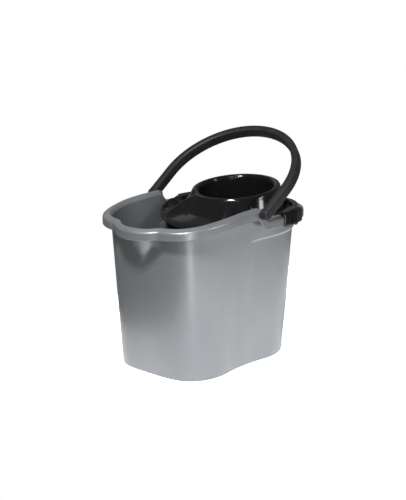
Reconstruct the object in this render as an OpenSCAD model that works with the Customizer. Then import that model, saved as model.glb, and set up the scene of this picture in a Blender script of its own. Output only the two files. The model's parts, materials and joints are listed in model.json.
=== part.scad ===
// Free-standing oval mop bucket with a bail handle and a lift-off wringer.
// Millimetres, +Z up. The origin is on the floor, midway along the bucket's waist:
// the pouring spout points to -X, the wringer stands over the +X end.

/* [Bucket] */
// Distance from the origin to the front of the base
base_front = 144.5; // [115:0.5:185]
// Distance from the origin to the rear of the base
base_rear = 148; // [120:0.5:190]
// Half of the width of the base
base_half = 109; // [90:0.5:135]
// Distance from the origin to the outside of the front wall at the rim
mouth_front = 165; // [145:0.5:210]
// Distance from the origin to the outside of the rear wall at the rim
mouth_rear = 182.5; // [160:0.5:225]
// Half of the width over the walls at the rim
mouth_half = 118; // [100:0.5:145]
// Height of the rim over the wringer end
rear_height = 274.5; // [230:0.5:330]
// Height of the spout's edge above the rear rim
spout_rise = 3; // [0:0.5:12]
// Height of the crest at the handle's pivots above the rear rim
crest_rise = 21.5; // [18:0.5:28]
// Thickness of the side walls
wall = 2.5; // [1.6:0.1:4]
// Thickness of the floor
floor_t = 3; // [2:0.1:5]
// Depth of the waist on each side at the base
waist_depth = 9.5; // [0:0.5:20]
// Step of the shoulder that runs round the wringer end
shoulder_step = 2.2; // [0:0.1:3]
// Height from the rim down to that shoulder
shoulder_drop = 40; // [34:1:60]

/* [Spout] */
// Half of the width of the spout between its two corners
spout_half = 47.5; // [30:0.5:60]
// How far the spout stands out from the line between its corners
spout_reach = 22; // [10:0.5:30]
// Length of the spout's taper down the front wall
spout_drop = 64; // [40:1:100]

/* [Rim] */
// Width of the rim band outside the lip
rim_width = 15.2; // [14:0.2:20]
// Height of the rim band
rim_height = 20.5; // [16:0.5:26]
// Thickness of the rim band
rim_wall = 2.4; // [1.6:0.1:4]

/* [Handle] */
// Height of the pivots above the rear rim
pivot_rise = 11.4; // [8:0.1:13]
// Distance of the pivots behind the origin
pivot_x = 11.5; // [0:0.5:20]
// Radius of the pivot pins
pin_r = 4; // [3:0.1:4.5]
// Radial clearance of the pins in their bores
pin_fit = 0.06; // [0.02:0.01:0.1]
// Length of the pivot pins
pin_length = 6.5; // [4:0.5:7]
// Height of the arch from the pivots to the middle of the grip
arch_height = 196.5; // [190:0.5:240]
// Half of the span between the middles of the two legs
arch_half = 136.8; // [136.5:0.1:160]
// Thickness of the handle in the plane of its arch
bail_t = 14.2; // [10:0.1:14.6]
// Width of the handle across the plane of its arch
bail_w = 19.5; // [14:0.5:22]
// How far the handle leans back from upright, in degrees
lean = 55.2; // [0:0.2:79]

/* [Wringer] */
// Distance of the middle of the opening behind the origin
cup_x = 91; // [86:1:94]
// Height of the middle of the opening above the rear rim
cup_rise = 30; // [22:1:45]
// Radius of the opening
cup_r = 72; // [55:1:74]
// Width of the rolled lip round the opening
lip_w = 11; // [8:0.5:12]
// Tilt of the opening towards the spout, in degrees
cup_tilt = 7; // [0:0.5:12]
// Thickness of the hood
hood_t = 2.5; // [1.8:0.1:3.5]
// Distance of the apron's front edge ahead of the origin
apron_front = 54; // [40:1:80]
// Depth of the apron's front edge below the rear rim
apron_drop = 25; // [15:1:35]
// Depth of the wringing basket
basket_depth = 150; // [100:1:180]
// Inside radius of the basket at its floor
basket_floor_r = 40; // [28:1:50]
// Thickness of the basket
basket_t = 2.4; // [1.8:0.1:3.5]
// Number of drain slots round the basket
slots = 12; // [6:1:18]
// Number of drain holes round the basket's floor
floor_holes = 8; // [4:1:12]
// Radius of the drain holes
hole_r = 4; // [2.5:0.1:4.5]

/* [Rim clips] */
// Distance of the front end of each clip behind the origin
clip_x = 72; // [60:1:90]
// Distance of the rear end of each clip behind the origin
clip_end = 136; // [110:1:145]
// How far each clip stands out from the rim band
clip_t = 3; // [2:0.1:3.4]
// Height of the clip's outer leg
clip_height = 26; // [18:0.5:30]

/* [Hidden] */
$fn = 96;

gap = 0.3;                                  // air left between pieces that meet
base_round = 3;                             // radius round the foot of the bucket
lip_z = rear_height;
spout_z = lip_z + spout_rise;
crest_z = lip_z + crest_rise;
pivot_z = lip_z + pivot_rise;
crest_back = 6.5;                           // the rim's crest ends this far ahead of the pivots
crest_x = pivot_x - crest_back;
step_length = 24;
edge_lead = 5;                              // the band's lower edge steps this much earlier
rim_face = mouth_half - wall + rim_width;   // half-width over the rim band
boss_wall = 3.8;                            // plastic round each bore
boss_r = pin_r + boss_wall;
boss_length = 10;
boss_sink = 2.2;                            // the pivot bosses end just proud of the waisted band
boss_face = rim_face - boss_sink;
leg_face = boss_face + gap;                 // inside face of the handle at the pivots
foot_r = bail_w / 2 + gap;                  // radius of the handle's round feet
foot_w = leg_face + bail_t / 2;
straight = 63.5;                            // length of the legs below the arch
arch_power = 2;                             // an ellipse; more is squarer
spout_r = (spout_half * spout_half + spout_reach * spout_reach) / (2 * spout_reach);
silver = [0.56, 0.58, 0.59];
black = [0.07, 0.07, 0.075];
charcoal = [0.17, 0.17, 0.18];

function mix(a, b, t) = a + (b - a) * t;
function unit(t) = min(1, max(0, t));
function smooth(t) = let (u = unit(t)) u * u * (3 - 2 * u);

// ---- Plan of the bucket: a squarish oval, with a spout in front and a waist ----

function front_a(z) = mix(base_front, mouth_front, z / lip_z);
function rear_a(z) = mix(base_rear, mouth_rear, z / lip_z);
function half_b(z) = mix(base_half, mouth_half, z / lip_z);
front_power = 3.75;                         // squareness of the oval
rear_power = 3.43;
function oval_power(phi) = cos(phi) < 0 ? front_power : rear_power;

function oval(phi, z, d) =
    let (a = (cos(phi) < 0 ? front_a(z) : rear_a(z)) + d, b = half_b(z) + d, n = oval_power(phi))
    pow(pow(abs(cos(phi)) / a, n) + pow(abs(sin(phi)) / b, n), -1 / n);

// The spout is a cone of circles that grows from nothing up the front wall.
function spout(phi, z, d) =
    let (
        s = unit((z - (lip_z - 1 - spout_drop)) / (spout_drop - 4)),
        r = spout_r * s + d,
        c = front_a(z) - 3 - (spout_r - spout_reach) * s,
        h = c * abs(sin(phi)))
    cos(phi) > 0 || h >= r || s <= 0 ? 0 : -c * cos(phi) + sqrt(r * r - h * h);

spout_fillet = 2;                           // softness of the line between spout and wall
function soft_max(a, b, k) = b <= 0 ? a : (a + b + sqrt((a - b) * (a - b) + k * k)) / 2;
waist_span = 58;                            // the waist fades out over this length
waist_left = 0.3;                           // share of the waist's depth left at the rim
function waist(x, z) =
    waist_depth * (1 - (1 - waist_left) * pow(unit(z / lip_z), 1.5)) * exp(-pow(abs(x) / waist_span, 3));

// Point of the outer wall at height z in direction phi, moved outwards by d.
function plan(phi, z, d) =
    let (
        r = soft_max(oval(phi, z, d), spout(phi, z, d), spout_fillet),
        x = r * cos(phi),
        y = r * sin(phi),
        full = pow(abs(y) / (half_b(z) + d), 2))
    [x, y - sign(y) * waist(x, z) * full];

// The wall below the shoulder stands in by the shoulder's step, and comes out again at the base.
function tuck(x, z) =
    let (s = z - (lip_z - shoulder_drop))
    shoulder_step * smooth((x + 6) / 26) * (1 - smooth((s + 2) / 4)) * smooth(1 + (s + 2) / 150);
function wall_at(phi, z, d) = plan(phi, z, d - tuck(plan(phi, z, d)[0], z));

// ---- Height of the rim: it climbs from the spout to a crest, then steps down ----

function rim_z(x) =
    x < crest_x
    ? mix(spout_z, crest_z, sin(90 * unit((x + mouth_front + 12) / (crest_x + mouth_front + 12))))
    : mix(crest_z, lip_z, smooth((x - crest_x) / step_length));
function lip_at(phi, d) =
    let (p = plan(phi, lip_z, d - wall))
    [p[0], p[1], rim_z(plan(phi, lip_z, -wall)[0])];
function rim_at(phi, d, drop) = lip_at(phi, d) - [0, 0, drop];
function band_foot(phi, d) =
    let (p = lip_at(phi, d))
    [p[0], p[1], rim_z(plan(phi, lip_z, -wall)[0] + edge_lead) - rim_height];

half_angles = concat([for (a = [0:4:64]) a], [for (a = [66:2:90]) a], [for (a = [94:4:158]) a],
                     [for (a = [161:2.5:176]) a], [180]);
angles = concat(half_angles, [for (i = [len(half_angles) - 2:-1:1]) -half_angles[i]]);

// Closed mesh of rings with the same number of points; the first and last ring
// are closed by a fan to a middle point.
module rings(rows, first, last) {
    n = len(rows[0]);
    m = len(rows);
    points = concat([for (row = rows) each row], [first, last]);
    bands = [for (i = [0:m - 2], j = [0:n - 1], k = [0, 1])
        let (a = i * n + j, b = i * n + (j + 1) % n, c = a + n, d = b + n)
        k == 0 ? [a, c, b] : [b, c, d]];
    start = [for (j = [0:n - 1]) [m * n, j, (j + 1) % n]];
    end = [for (j = [0:n - 1]) [m * n + 1, (m - 1) * n + (j + 1) % n, (m - 1) * n + j]];
    polyhedron(points, concat(bands, start, end), convexity = 12);
}

// Closed mesh whose last ring joins its first; the rings run outwards over the top.
module loops(rows) {
    n = len(rows[0]);
    m = len(rows);
    polyhedron([for (row = rows) each row],
        [for (i = [0:m - 1], j = [0:n - 1], k = [0, 1])
            let (i2 = (i + 1) % m, a = i * n + j, b = i * n + (j + 1) % n, c = i2 * n + j, d = i2 * n + (j + 1) % n)
            k == 0 ? [a, b, c] : [b, d, c]],
        convexity = 12);
}

// ---- Bucket ----

module bucket_shell() {
    shoulder_z = lip_z - shoulder_drop;
    high = lip_z - 30;
    outer = [[0, -base_round], [base_round * 0.3, -base_round * 0.3], [base_round, 0],
             [45, 0], [90, 0], [135, 0], [175, 0], [205, 0],
             [shoulder_z - 10, 0], [shoulder_z - 2, 0], [shoulder_z + 2.5, 0], [high, 0]];
    under = [[wall, 12], [wall + 1.1, 5.8], [wall + 3, 3.5], [rim_width - 6, 3.1], [rim_width - 3.4, 6.4],
             [rim_width - rim_wall, 11]];
    crown = [[rim_width, 9], [rim_width - 0.8, 5], [rim_width - 2.2, 2], [rim_width - 4.4, 0.3],
             [rim_width - 6, 0], [6, 0.6], [3, 2.5], [1, 5.5], [0, 9]];
    inner = [[high, 0], [shoulder_z + 4, 0], [shoulder_z - 2, 0], [175, 0], [90, 0], [floor_t + 8, 0],
             [floor_t + 2.4, -2.4], [floor_t, -8]];
    rings(concat(
        [for (r = outer) [for (a = angles) concat(wall_at(a, r[0], r[1]), r[0])]],
        [for (r = under) [for (a = angles) rim_at(a, r[0], r[1])]],
        [[for (a = angles) band_foot(a, rim_width - rim_wall)], [for (a = angles) band_foot(a, rim_width)]],
        [for (r = crown) [for (a = angles) rim_at(a, r[0], r[1])]],
        [for (r = inner) [for (a = angles) concat(wall_at(a, r[0], r[1] - wall), r[0])]]),
        [0, 0, 0], [0, 0, floor_t]);
}

module bucket_body() {
    color(silver)
    difference() {
        union() {
            bucket_shell();
            for (side = [-1, 1])
                translate([pivot_x, side * (boss_face - boss_length), pivot_z])
                rotate([-90 * side, 0, 0])
                cylinder(r = boss_r, h = boss_length);
        }
        for (side = [-1, 1])
            translate([pivot_x, side * boss_face, pivot_z])
            rotate([90 * side, 0, 0])
            translate([0, 0, -1])
            cylinder(r = pin_r + pin_fit, h = pin_length + 2);
    }
}

// ---- Handle: a round-shouldered arch of rounded rectangular section ----

// Middle line of one quarter of the arch, as [distance across, height], for t from 0 to 1.
function arch(t) =
    let (leg = 0.3)
    t < leg
    ? [mix(foot_w, arch_half, smooth(t / leg * 0.5) * 2), straight * t / leg]
    : let (a = 90 * (t - leg) / (1 - leg))
      [arch_half * pow(max(0, cos(a)), 2 / arch_power),
       straight + (arch_height - straight) * pow(sin(a), 2 / arch_power)];

bail_steps = 30;
quarter = [for (i = [0:bail_steps]) arch(i / bail_steps)];
bail_line = concat(quarter, [for (i = [bail_steps - 1:-1:0]) [-quarter[i][0], quarter[i][1]]]);

module bail() {
    r = 3;                                  // rounding of the edges
    t = bail_t / 2;
    w = bail_w / 2;
    section = [[t, w - r], [t - r * 0.3, w - r * 0.3], [t - r, w], [-t + r, w], [-t + r * 0.3, w - r * 0.3], [-t, w - r],
               [-t, -w + r], [-t + r * 0.3, -w + r * 0.3], [-t + r, -w], [t - r, -w], [t - r * 0.3, -w + r * 0.3], [t, -w + r]];
    m = len(bail_line);
    rows = [for (i = [0:m - 1])
        let (p = bail_line[i], before = bail_line[max(0, i - 1)], after = bail_line[min(m - 1, i + 1)],
             run = after - before, out = [run[1], -run[0]] / norm(run))
        [for (s = section) [-s[1], p[0] + out[0] * s[0], p[1] + out[1] * s[0]]]];
    rings(rows, [0, foot_w, 0], [0, -foot_w, 0]);
}

module handle() {
    color(charcoal)
    translate([pivot_x, 0, pivot_z])
    rotate([0, lean, 0])
    union() {
        bail();
        for (side = [-1, 1])
            translate([0, side * leg_face, 0])
            rotate([-90 * side, 0, 0]) {
                cylinder(r = foot_r, h = bail_t);
                translate([0, 0, -pin_length])
                cylinder(r = pin_r, h = pin_length + 1);
            }
    }
}

// ---- Wringer: a hood that flares from the opening to the rim and an apron ----

cup_z = lip_z + cup_rise;
cup_rim = cup_r + lip_w;
slot_w = 4;
slot_l = 40;
slot_bridge = 12;                           // plastic between the two tiers of slots
slot_rise = 16;                             // height of the lower tier above the basket's floor
seat = 5;                                   // overlap of the hood on the rear rim
wall_gap = 3.5;                             // air between the hood's edge and the wall
hood_angles = [for (a = [0:5:355]) a];

// Where the ray from the cup's middle at angle psi meets the bucket's lip.
function lip_reach(psi, d, lo = 0, hi = 260, n = 22) =
    n == 0 ? (lo + hi) / 2
    : let (mid = (lo + hi) / 2, x = cup_x + mid * cos(psi), y = mid * sin(psi),
           phi = atan2(y, x), edge = norm(lip_at(phi, d) - [0, 0, lip_at(phi, d)[2]]))
      norm([x, y]) < edge ? lip_reach(psi, d, mid, hi, n - 1) : lip_reach(psi, d, lo, mid, n - 1);

function fold(psi) = psi > 180 ? 360 - psi : psi;
apron_x = crest_x + step_length + 2;        // the apron's sides leave the rim here
apron_half = mouth_half - wall - wall_gap - 1.5;
// Where the same ray meets the apron's oval front edge.
function apron_reach(psi) =
    let (c = cos(psi), s = sin(psi), a = apron_front + apron_x, b = apron_half, k = cup_x - apron_x,
         A = c * c / (a * a) + s * s / (b * b), B = 2 * k * c / (a * a), C = k * k / (a * a) - 1)
    (-B + sqrt(B * B - 4 * A * C)) / (2 * A);
side_psi = 180 - atan(apron_half / (cup_x - apron_x));
function is_apron(psi) = smooth((fold(psi) - side_psi) / 8);
function seat_at(psi) = mix(seat, -wall_gap, smooth((fold(psi) - side_psi + 14) / 12));
function edge_reach(psi) = fold(psi) > side_psi ? apron_reach(psi) : lip_reach(psi, seat_at(psi));
function edge_z(psi) =
    let (x = cup_x + edge_reach(psi) * cos(psi))
    lip_z + gap - (apron_drop + gap) * unit((apron_x - x) / (apron_x + apron_front));

// Top surface of the hood from the opening outwards, as [radius, height] pairs.
function hood_top(psi) =
    let (
        tip = cup_z + cup_rim * cos(psi) * sin(cup_tilt),
        out = edge_reach(psi),
        room = out - cup_rim,
        rear = 1 - is_apron(psi),
        dip = 13 * smooth((room - 12) / 20) * rear,
        edge = edge_z(psi) + hood_t,
        foot = cup_rim + min(12, 0.42 * room) * rear + 0.5 * room * (1 - rear),
        valley = out - max(seat + wall_gap + 2, 0.3 * room) * rear - 0.2 * room * (1 - rear),
        low = mix(mix(tip, edge, 0.62), edge - dip, rear))
    [[cup_rim, tip - 2], [cup_rim + 0.18 * (foot - cup_rim), mix(tip, low, 0.3)],
     [mix(cup_rim, foot, 0.6), mix(tip, low, 0.7)], [foot, low],
     [mix(foot, valley, 0.6), mix(low, mix(mix(tip, edge, 0.85), low, rear), 0.8)],
     [valley, mix(mix(tip, edge, 0.88), mix(low, edge, 0.35), rear)],
     [out - max(3, seat_at(psi) + wall_gap + 0.4), mix(edge + 1, edge - 0.6, rear)],
     [out - 1.2, edge], [out, edge - 0.8]];

function ring_point(psi, r, h) =
    [cup_x + r * cos(psi) * cos(cup_tilt) - h * sin(cup_tilt), r * sin(psi), cup_z + r * cos(psi) * sin(cup_tilt) + h * cos(cup_tilt)];
function ray_point(psi, p) = [cup_x + p[0] * cos(psi), p[0] * sin(psi), p[1]];

module wringer_hood() {
    ring_t = 4;
    color(black)
    loops(concat(
        [for (p = [[cup_r, -ring_t], [cup_r, -1.2], [cup_r + 1.4, 1], [cup_r + lip_w * 0.45, 2.2], [cup_rim - 1.6, 1.2]])
            [for (a = hood_angles) ring_point(a, p[0], p[1])]],
        [for (k = [0:8]) [for (a = hood_angles) ray_point(a, hood_top(a)[k])]],
        [[for (a = hood_angles) let (p = hood_top(a)[8]) ray_point(a, p - [0, hood_t - 0.8])]],
        [for (k = [6:-1:0]) [for (a = hood_angles)
            let (p = hood_top(a)[k]) ray_point(a, p - [k < 3 ? hood_t * 1.1 : 0, hood_t])]],
        [[for (a = hood_angles) ring_point(a, cup_r + 4, -ring_t)]]));
}

module cup_frame() {
    translate([cup_x, 0, cup_z])
    rotate([0, -cup_tilt, 0])
    children();
}

module wringer_basket() {
    top = -4 - gap;
    bead = 2.6;
    foot = -basket_depth;
    r_top = cup_r - gap;
    r_foot = basket_floor_r;
    color(black)
    cup_frame()
    difference() {
        rotate_extrude()
        polygon([[0, foot - basket_t], [r_foot + basket_t - 3, foot - basket_t], [r_foot + basket_t, foot - basket_t + 3],
                 [r_top + 0.1, top - 14], [cup_r + 2.4, top - bead - 3], [cup_r + 2.4, top], [r_top, top], [r_top, -2],
                 [r_top - 1.2, -1], [r_top - basket_t + 0.2, -3], [r_top - basket_t, top - 14], [r_foot, foot + 2],
                 [r_foot - 2, foot], [0, foot]]);
        for (i = [0:slots - 1])
            rotate([0, 0, 360 / slots * (i + 0.5)])
            for (z = [0, 1])
                translate([r_foot - 4, -slot_w / 2, foot + slot_rise + z * (slot_l + slot_bridge)])
                cube([r_top - r_foot + 8, slot_w, slot_l]);
        for (i = [0:floor_holes - 1])
            rotate([0, 0, 360 / floor_holes * i])
            translate([r_foot * 0.62, 0, foot - basket_t - 1])
            cylinder(r = hole_r, h = basket_t + 2, $fn = 32);
        translate([0, 0, foot - basket_t - 1])
        cylinder(r = hole_r * 1.5, h = basket_t + 2, $fn = 32);
    }
}

// ---- Rim clips: blocks that wrap over the rim band from the hood's flange ----

function clip_phi(x, lo = 20, hi = 90, n = 20) =
    n == 0 ? (lo + hi) / 2
    : let (mid = (lo + hi) / 2) lip_at(mid, rim_width)[0] > x ? clip_phi(x, mid, hi, n - 1) : clip_phi(x, lo, mid, n - 1);

module clip() {
    from = clip_phi(clip_end);
    to = clip_phi(clip_x);
    steps = 9;
    w = rim_width;
    face = w + clip_t;
    over = [[seat + 0.2, hood_t + gap], [w - 4.4, 3.4], [w - 1, 1.6], [face - 0.8, -1.5], [face, -5],
            [face, 1.5 - clip_height], [face - 1.5, -clip_height]];
    below = [[seat + 0.2, 0.6], [w - 5.6, 0.4], [w - 4.2, 0.3], [w - 1.9, -1.6], [w - 0.5, -4.7], [w + gap, -9.1],
             [w + gap, -clip_height]];
    half = len(over);
    n = 2 * half;
    points = [for (i = [0:steps]) let (phi = mix(from, to, i / steps))
        for (j = [0:n - 1]) let (p = j < half ? over[j] : below[n - 1 - j]) rim_at(phi, p[0], -p[1])];
    bands = [for (i = [0:steps - 1], j = [0:n - 1], k = [0, 1])
        let (a = i * n + j, b = i * n + (j + 1) % n, c = a + n, d = b + n)
        k == 0 ? [a, c, b] : [b, c, d]];
    ends = [for (i = [0:half - 2], k = [0, 1])
        k == 0 ? [i, i + 1, n - 2 - i] : [i, n - 2 - i, n - 1 - i]];
    polyhedron(points, concat(bands, ends, [for (f = ends) [for (v = [2:-1:0]) f[v] + steps * n]]), convexity = 6);
}

module rim_clip_left() {
    color(black)
    clip();
}

module rim_clip_right() {
    color(black)
    mirror([0, 1, 0])
    clip();
}

bucket_body();
handle();
wringer_hood();
wringer_basket();
rim_clip_left();
rim_clip_right();
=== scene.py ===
"""Oval mop bucket with a pouring spout, a bail handle and a lift-off wringer."""
import json
import math
from types import SimpleNamespace

import bmesh
import bpy
from bpy.props import FloatProperty, FloatVectorProperty, IntProperty, PointerProperty, StringProperty
from mathutils import Matrix, Vector


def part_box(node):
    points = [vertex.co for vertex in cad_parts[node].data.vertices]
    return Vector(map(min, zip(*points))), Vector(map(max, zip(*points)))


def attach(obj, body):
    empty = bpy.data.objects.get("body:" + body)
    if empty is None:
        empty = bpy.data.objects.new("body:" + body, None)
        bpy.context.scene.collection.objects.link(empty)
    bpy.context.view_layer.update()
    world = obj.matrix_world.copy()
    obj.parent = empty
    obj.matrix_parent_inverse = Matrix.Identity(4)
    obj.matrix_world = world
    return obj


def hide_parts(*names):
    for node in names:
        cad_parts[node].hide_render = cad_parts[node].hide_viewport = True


bl_info = {
    "name": "Mop Bucket with Wringer",
    "version": (1, 0, 0),
    "blender": (4, 5, 0),
    "location": "3D View > Sidebar > Mop Bucket",
    "description": "Builds an oval mop bucket with its handle, wringer and rim clips",
    "category": "Add Mesh",
}

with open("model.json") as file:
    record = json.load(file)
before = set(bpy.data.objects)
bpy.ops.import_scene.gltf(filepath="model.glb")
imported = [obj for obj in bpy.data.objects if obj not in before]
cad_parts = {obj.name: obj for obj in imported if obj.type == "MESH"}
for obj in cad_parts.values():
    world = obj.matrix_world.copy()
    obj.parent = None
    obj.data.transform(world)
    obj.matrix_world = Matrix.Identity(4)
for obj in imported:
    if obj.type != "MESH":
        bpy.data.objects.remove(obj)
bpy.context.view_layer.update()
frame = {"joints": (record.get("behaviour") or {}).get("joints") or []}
BUCKET_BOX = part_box("bucket_body")
PIVOT = next(j for j in frame["joints"] if j["name"] == "handle_swing")["pos_m"]
MM = 0.001
GAP = 0.3  # air between pieces that meet, in millimetres
REAR_HEIGHT = 274.5  # height of the rim at the wringer end, in millimetres


# ---- Sizes and colours ----

def length(name, description, millimetres):
    return FloatProperty(name=name, description=description, default=millimetres * MM, min=0.0,
                         unit="LENGTH", subtype="DISTANCE", precision=4)


def colour(name, description, hex_value):
    return StringProperty(name=name, description=description + ", as sRGB hex", default=hex_value, maxlen=7)


class BucketSizes(bpy.types.PropertyGroup):
    base_front: length("Base front", "Distance from the waist to the front of the base", 144.5)
    base_rear: length("Base rear", "Distance from the waist to the rear of the base", 148)
    base_half: length("Base half width", "Half of the width of the base", 109)
    mouth_front: length("Mouth front", "Distance from the waist to the front wall at the rim", 165)
    mouth_rear: length("Mouth rear", "Distance from the waist to the rear wall at the rim", 182.5)
    mouth_half: length("Mouth half width", "Half of the width over the walls at the rim", 118)
    rear_height: length("Rear height", "Height of the rim at the wringer end", REAR_HEIGHT)
    spout_rise: length("Spout rise", "Height of the spout's edge above the rear rim", 3)
    crest_rise: length("Crest rise", "Height of the crest at the pivots above the rear rim",
                       BUCKET_BOX[1].z / MM - REAR_HEIGHT)
    wall: length("Wall", "Thickness of the walls", 2.5)
    floor: length("Floor", "Thickness of the floor", 3)
    foot_radius: length("Foot radius", "Rounding between the walls and the base", 3)
    waist_depth: length("Waist depth", "Depth of the waist on each side at the base", 9.5)
    shoulder_step: length("Shoulder step", "Step of the shoulder round the wringer end", 2.2)
    shoulder_drop: length("Shoulder drop", "Height from the rim down to the shoulder", 40)
    spout_half: length("Spout half width", "Half of the width between the spout's corners", 47.5)
    spout_reach: length("Spout reach", "How far the spout stands out", 22)
    spout_drop: length("Spout drop", "Length of the spout's taper down the wall", 60)
    rim_width: length("Rim width", "Width of the rim band outside the walls", 15.2)
    rim_height: length("Rim height", "Height of the rim band", 20.5)
    rim_wall: length("Rim wall", "Thickness of the rim band", 2.4)
    boss_radius: length("Boss radius", "Radius of the pivot bosses", 7.8)
    boss_length: length("Boss length", "Length of the pivot bosses", 10)
    boss_sink: length("Boss sink", "How far the pivot bosses end inside the rim band's face", 2.2)


class HandleSizes(bpy.types.PropertyGroup):
    arch_height: length("Arch height", "Height of the arch from the pivots to the grip", 196.5)
    arch_half: length("Arch half width", "Half of the span between the legs", 136.8)
    thickness: length("Thickness", "Thickness in the plane of the arch", 14.2)
    width: length("Width", "Width across the plane of the arch", 19.5)
    edge_radius: length("Edge radius", "Rounding of the handle's edges", 3.6)
    straight: length("Straight legs", "Length of the legs below the arch", 63.5)
    pin_radius: length("Pin radius", "Radius of the pivot pins", 4)
    pin_fit: length("Pin fit", "Radial clearance of the pins", 0.06)
    pin_length: length("Pin length", "Length of the pivot pins", 6.5)
    lean: FloatProperty(name="Lean", description="How far the handle leans back from upright",
                        default=math.radians(55.2), subtype="ANGLE")


class WringerSizes(bpy.types.PropertyGroup):
    cup_x: length("Opening position", "Distance of the opening's middle behind the waist", 91)
    cup_rise: length("Opening rise", "Height of the opening's middle above the rear rim", 30)
    cup_radius: length("Opening radius", "Radius of the opening", 72)
    lip: length("Lip", "Width of the rolled lip round the opening", 11)
    tilt: FloatProperty(name="Tilt", description="Tilt of the opening towards the spout",
                        default=math.radians(7), subtype="ANGLE")
    thickness: length("Hood thickness", "Thickness of the hood", 2.5)
    apron_front: length("Apron front", "Distance of the apron's edge ahead of the waist", 54)
    apron_drop: length("Apron drop", "Depth of the apron's edge below the rear rim", 25)
    seat: length("Seat", "Overlap of the hood on the rear rim", 5)
    wall_gap: length("Wall gap", "Air between the hood's edge and the bucket's wall", 3.5)
    bead_radius: length("Bead radius", "Radius of the round beads on the tower's sides", 12)
    basket_depth: length("Basket depth", "Depth of the wringing basket", 150)
    basket_floor: length("Basket floor radius", "Inside radius of the basket at its floor", 40)
    basket_wall: length("Basket wall", "Thickness of the basket", 2.4)
    slots: IntProperty(name="Slots", description="Drain slots round the basket", default=12, min=3)
    slot_width: length("Slot width", "Width of a drain slot", 4)
    slot_length: length("Slot length", "Length of a drain slot", 40)
    slot_bridge: length("Slot bridge", "Plastic between the two tiers of slots", 12)
    slot_rise: length("Slot rise", "Height of the lower slots above the basket's floor", 16)
    ribs: IntProperty(name="Ribs", description="Pressing ribs round the inside of the basket", default=24,
                      min=3)
    floor_holes: IntProperty(name="Floor holes", description="Drain holes round the floor", default=8, min=3)
    hole_radius: length("Hole radius", "Radius of a drain hole", 4)
    clip_front: length("Clip front", "Distance of a rim clip's front end behind the waist", 72)
    clip_rear: length("Clip rear", "Distance of a rim clip's rear end behind the waist", 136)
    clip_thickness: length("Clip thickness", "How far a clip stands out from the rim band", 3)
    clip_height: length("Clip height", "Height of a clip's outer leg", 26)


class Finishes(bpy.types.PropertyGroup):
    silver: colour("Silver", "Silver-grey plastic with metal flake", "#808386")
    silver_dark: colour("Silver shade", "Darkest flake of the silver plastic", "#6E7174")
    charcoal: colour("Charcoal", "Satin plastic of the handle", "#141415")
    charcoal_light: colour("Charcoal grain", "Lighter grain of the handle's plastic", "#19191A")
    black: colour("Black", "Glossy plastic of the wringer", "#0E0E0F")
    paper: colour("Backdrop", "Pale studio floor", "#FFFFFF")


class StageSettings(bpy.types.PropertyGroup):
    azimuth: FloatProperty(name="Azimuth", description="Camera's direction round the bucket",
                           default=math.radians(-48.5), subtype="ANGLE")
    elevation: FloatProperty(name="Elevation", description="Camera's height above level",
                             default=math.radians(16), subtype="ANGLE")
    distance: FloatProperty(name="Distance", description="Camera's distance from its target",
                            default=2.23, unit="LENGTH")
    target: FloatVectorProperty(name="Target", description="Point that the camera looks at",
                                default=(-0.045, -0.0315, 0.15), unit="LENGTH")
    focal_length: FloatProperty(name="Focal length", description="Camera's focal length in millimetres",
                                default=89.28)
    ambient: FloatProperty(name="Ambient", description="Strength of the studio's even light", default=0.15)


def millimetres(group):
    """The group's values as plain numbers, its lengths in millimetres."""
    values = {}
    for prop in group.bl_rna.properties:
        if prop.identifier in {"rna_type", "name"}:
            continue
        value = getattr(group, prop.identifier)
        values[prop.identifier] = value / MM if getattr(prop, "unit", "NONE") == "LENGTH" else value
    return SimpleNamespace(**values)


def mix(a, b, t):
    return a + (b - a) * t


def unit(t):
    return min(1.0, max(0.0, t))


def smooth(t):
    t = unit(t)
    return t * t * (3 - 2 * t)


def soften(points, rounds=2):
    """Cuts the corners of an open line of points and keeps its ends."""
    for _ in range(rounds):
        cut = [points[0]]
        for a, b in zip(points, points[1:]):
            cut.append(tuple(mix(u, v, 0.25) for u, v in zip(a, b)))
            cut.append(tuple(mix(u, v, 0.75) for u, v in zip(a, b)))
        cut.append(points[-1])
        points = cut
    return points


# ---- Plan of the bucket: a squarish oval with a spout in front and a waist ----

FRONT_POWER, REAR_POWER = 3.75, 3.43  # squareness of the oval's two ends
WAIST_SPAN = 58.0  # the waist fades out over this length
WAIST_LEFT = 0.3  # share of the waist's depth that is left at the rim
SPOUT_FULL = 5.0  # the spout reaches its full size this far below the rear rim
SPOUT_BURY = 3.0  # the spout's cone starts this deep inside the wall
SPOUT_FILLET = 2.0  # softness of the line between spout and wall


def oval(b, phi, z, d):
    c, s = math.cos(phi), math.sin(phi)
    t = z / b.rear_height
    front = c < 0
    reach = (mix(b.base_front, b.mouth_front, t) if front else mix(b.base_rear, b.mouth_rear, t)) + d
    half = mix(b.base_half, b.mouth_half, t) + d
    power = FRONT_POWER if front else REAR_POWER
    return (abs(c / reach) ** power + abs(s / half) ** power) ** (-1 / power)


def spout(b, phi, z, d):
    """A cone of circles that grows from nothing up the front wall."""
    radius = (b.spout_half ** 2 + b.spout_reach ** 2) / (2 * b.spout_reach)
    s = unit((z - (b.rear_height - SPOUT_FULL)) / b.spout_drop + 1)
    r = radius * s + d
    middle = mix(b.base_front, b.mouth_front, z / b.rear_height) - SPOUT_BURY - (radius - b.spout_reach) * s
    h = middle * abs(math.sin(phi))
    if math.cos(phi) > 0 or h >= r or s <= 0:
        return 0.0
    return -middle * math.cos(phi) + math.sqrt(r * r - h * h)


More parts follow.
